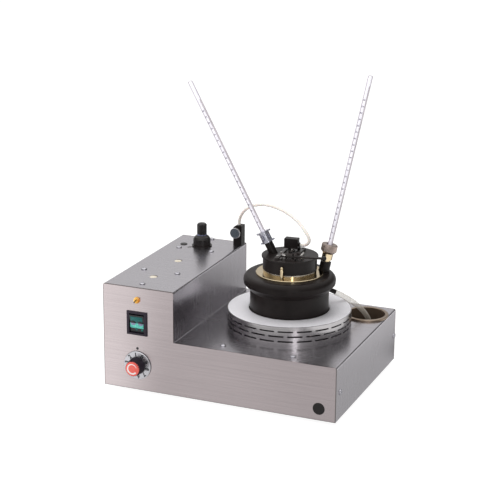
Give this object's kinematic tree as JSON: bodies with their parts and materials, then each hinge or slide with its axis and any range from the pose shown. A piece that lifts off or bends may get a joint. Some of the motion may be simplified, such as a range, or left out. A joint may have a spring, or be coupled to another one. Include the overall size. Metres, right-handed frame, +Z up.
{
  "type": "closed-cup flash point tester",
  "caption": "Bench instrument with a stepped steel case, vented heater ring, water bath, test cup, lidded shutter mechanism, gas jet and two thermometers.",
  "frame": {"origin": "centre of the whole object's footprint at the level of the feet", "axes": "+X to the right as the user faces the controls, +Y from the front panel to the back, +Z up"},
  "size_m": [0.329, 0.2858, 0.4149],
  "materials": {
    "stainless": "brushed",
    "deck_steel": "satin",
    "dark_steel": "satin",
    "pale_metal": "satin",
    "screw_steel": "satin",
    "bright_steel": "polished",
    "chrome": "polished",
    "nickel": "polished",
    "nickel_warm": "polished",
    "bath_black": "satin",
    "valve_brown": "satin",
    "vessel_metal": "satin",
    "brass": "polished",
    "copper": "satin",
    "cast_plate": "cast",
    "black_metal": "satin",
    "black_plastic": "satin",
    "rubber_black": "matte",
    "lens_amber": "clear",
    "rocker_teal": "gloss",
    "dial_silver": "satin",
    "cap_red": "satin",
    "plug_cream": "satin",
    "tube_cream": "satin",
    "thermometer_glass": "clear"
  },
  "bodies": {
    "tester_case": {"cover": "deck_steel", "front_panel": "stainless", "rear_panel": "stainless", "base_plate": "stainless", "rubber_feet": "rubber_black", "deck_screws": "screw_steel", "tower_screws": "screw_steel", "side_screws": "screw_steel", "indicator_lens": "lens_amber", "indicator_body": "black_plastic", "switch_body": "black_plastic", "energy_regulator": "black_plastic", "top_plugs": "plug_cream", "blanking_plug": "black_plastic", "gas_valve_body": "valve_brown", "gas_valve_band": "bright_steel", "gas_post": "black_metal", "gas_inlet": "brass", "inlet_pipe": "copper", "outlet_pipe": "copper", "mains_inlet": "black_plastic", "vent_ring": "dark_steel", "ring_cover": "pale_metal", "heater_plate": "cast_plate", "heater_support": "stainless", "bath_vessel": "bath_black", "overflow_spout": "black_metal", "drain_tube": "tube_cream", "cup_seat_ring": "brass", "locking_pin": "brass", "thermometer_boss": "black_metal", "gland_body": "brass", "gland_nut": "nickel_warm", "overflow_vessel": "vessel_metal"},
    "power_rocker": {"switch_rocker": "rocker_teal"},
    "heater_knob": {"control_dial": "dial_silver", "control_knob": "black_plastic", "knob_cap": "cap_red", "control_spindle": "bright_steel"},
    "valve_knob": {"gas_valve_knob": "black_plastic"},
    "gas_flow_screw": {"flow_screw": "bright_steel"},
    "bath_thermometer_body": {"bath_thermometer": "thermometer_glass"},
    "cup_body": {"test_cup": "nickel"},
    "lid_body": {"lid": "black_metal", "guide_rails": "black_metal", "lid_screws": "bright_steel", "jet_bracket": "black_metal", "lever_pivot": "bright_steel", "return_spring": "bright_steel", "thermometer_socket": "black_metal", "thermometer_ferrule": "chrome", "gas_tube": "tube_cream"},
    "shutter": {"shutter_slide": "black_metal"},
    "lever": {"shutter_lever": "black_metal", "lever_ball": "black_plastic"},
    "jet": {"jet_block": "black_metal", "jet_tip": "bright_steel"},
    "cup_thermometer_body": {"cup_thermometer": "thermometer_glass"}
  },
  "joints": [
    {"name": "power_rocker_tilt", "type": "hinge", "parent": "tester_case", "child": "power_rocker", "pos_m": [-0.113, -0.1236, 0.0988], "axis": [1, 0, 0], "range_deg": [-16, 0]},
    {"name": "heater_knob_turn", "type": "hinge", "parent": "tester_case", "child": "heater_knob", "pos_m": [-0.113, -0.1261, 0.0405], "axis": [0, -1, 0], "range_deg": [-288, 36]},
    {"name": "gas_valve_turn", "type": "hinge", "parent": "tester_case", "child": "valve_knob", "pos_m": [-0.113, 0.0819, 0.148], "axis": [0, 0, 1], "range_deg": [0, 720]},
    {"name": "flow_screw_turn", "type": "hinge", "parent": "tester_case", "child": "gas_flow_screw", "pos_m": [-0.0678, 0.1102, 0.168], "axis": [0, -1, 0], "range_deg": [-360, 360]},
    {"name": "bath_thermometer_lift", "type": "slide", "parent": "tester_case", "child": "bath_thermometer_body", "axis": [0.1791, 0.1089, 0.9778], "range_m": [0, 0.062]},
    {"name": "cup_lift", "type": "slide", "parent": "tester_case", "child": "cup_body", "axis": [0, 0, 1], "range_m": [0, 0.06]},
    {"name": "lid_lift", "type": "slide", "parent": "cup_body", "child": "lid_body", "axis": [0, 0, 1], "range_m": [0, 0.06]},
    {"name": "lever_swing", "type": "hinge", "parent": "lid_body", "child": "lever", "pos_m": [0.05188, -0.02411, 0.1818], "axis": [0, 0, -1], "range_deg": [0, 35], "stiffness_Nm_per_rad": 0.02, "springref_deg": -20.05, "deforming": ["return_spring"]},
    {"name": "shutter_travel", "type": "slide", "parent": "lid_body", "child": "shutter", "axis": [0.0872, -0.9962, 0], "range_m": [0, 0.0072]},
    {"name": "jet_dip", "type": "hinge", "parent": "lid_body", "child": "jet", "pos_m": [0.04911, 0.02132, 0.1858], "axis": [0.9962, 0.0872, 0], "range_deg": [0, 7]},
    {"name": "cup_thermometer_lift", "type": "slide", "parent": "lid_body", "child": "cup_thermometer_body", "axis": [-0.4615, -0.0404, 0.8862], "range_m": [0, 0.08]}
  ],
  "couplings": [
    {"joint": "shutter_travel", "follows": "lever_swing", "m_per_rad": 0.011534},
    {"joint": "jet_dip", "follows": "lever_swing", "ratio": 0.2}
  ]
}
